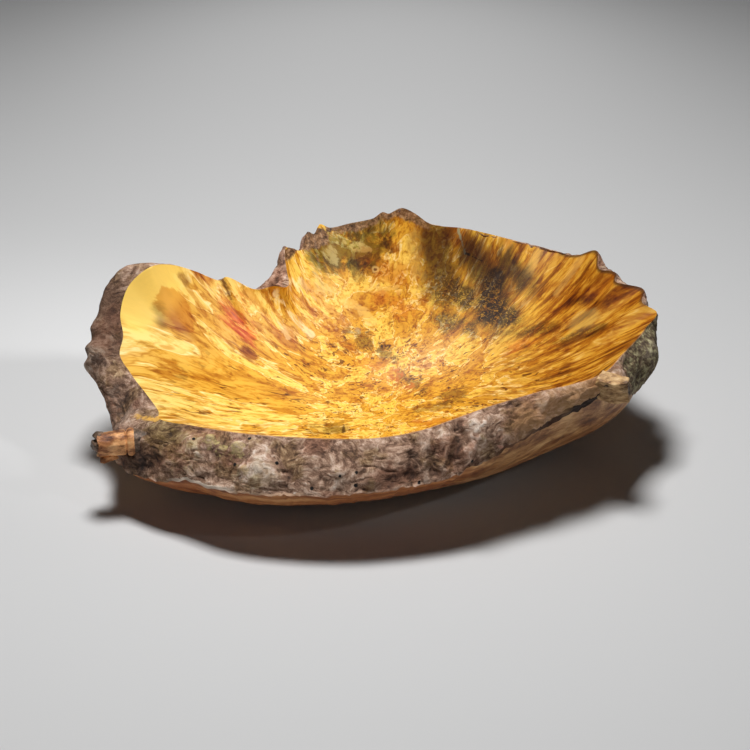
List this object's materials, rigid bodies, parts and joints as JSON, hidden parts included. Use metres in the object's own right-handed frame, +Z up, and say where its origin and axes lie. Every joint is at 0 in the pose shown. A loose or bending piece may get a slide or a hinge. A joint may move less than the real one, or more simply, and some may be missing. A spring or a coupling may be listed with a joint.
{
  "type": "live-edge maple burl bowl",
  "caption": "Wide bowl carved from one maple burl: oiled figured hollow, scalloped live edge, band of rough natural burl surface, round carved underside on a small flat foot.",
  "frame": {"origin": "centre of the flat foot, on the surface the bowl stands on", "axes": "+Z up, out of the hollow; +X along the bowl's length, towards the fluted end; +Y towards the tall back wall"},
  "size_m": [0.5553, 0.387, 0.183],
  "materials": {
    "maple_burl": "oiled, satin spalted maple burl in the hollow, grey-brown raw natural burl surface on the band, sanded tan wood below"
  },
  "bodies": {
    "root": {"burl_bowl": "maple_burl"}
  },
  "joints": []
}
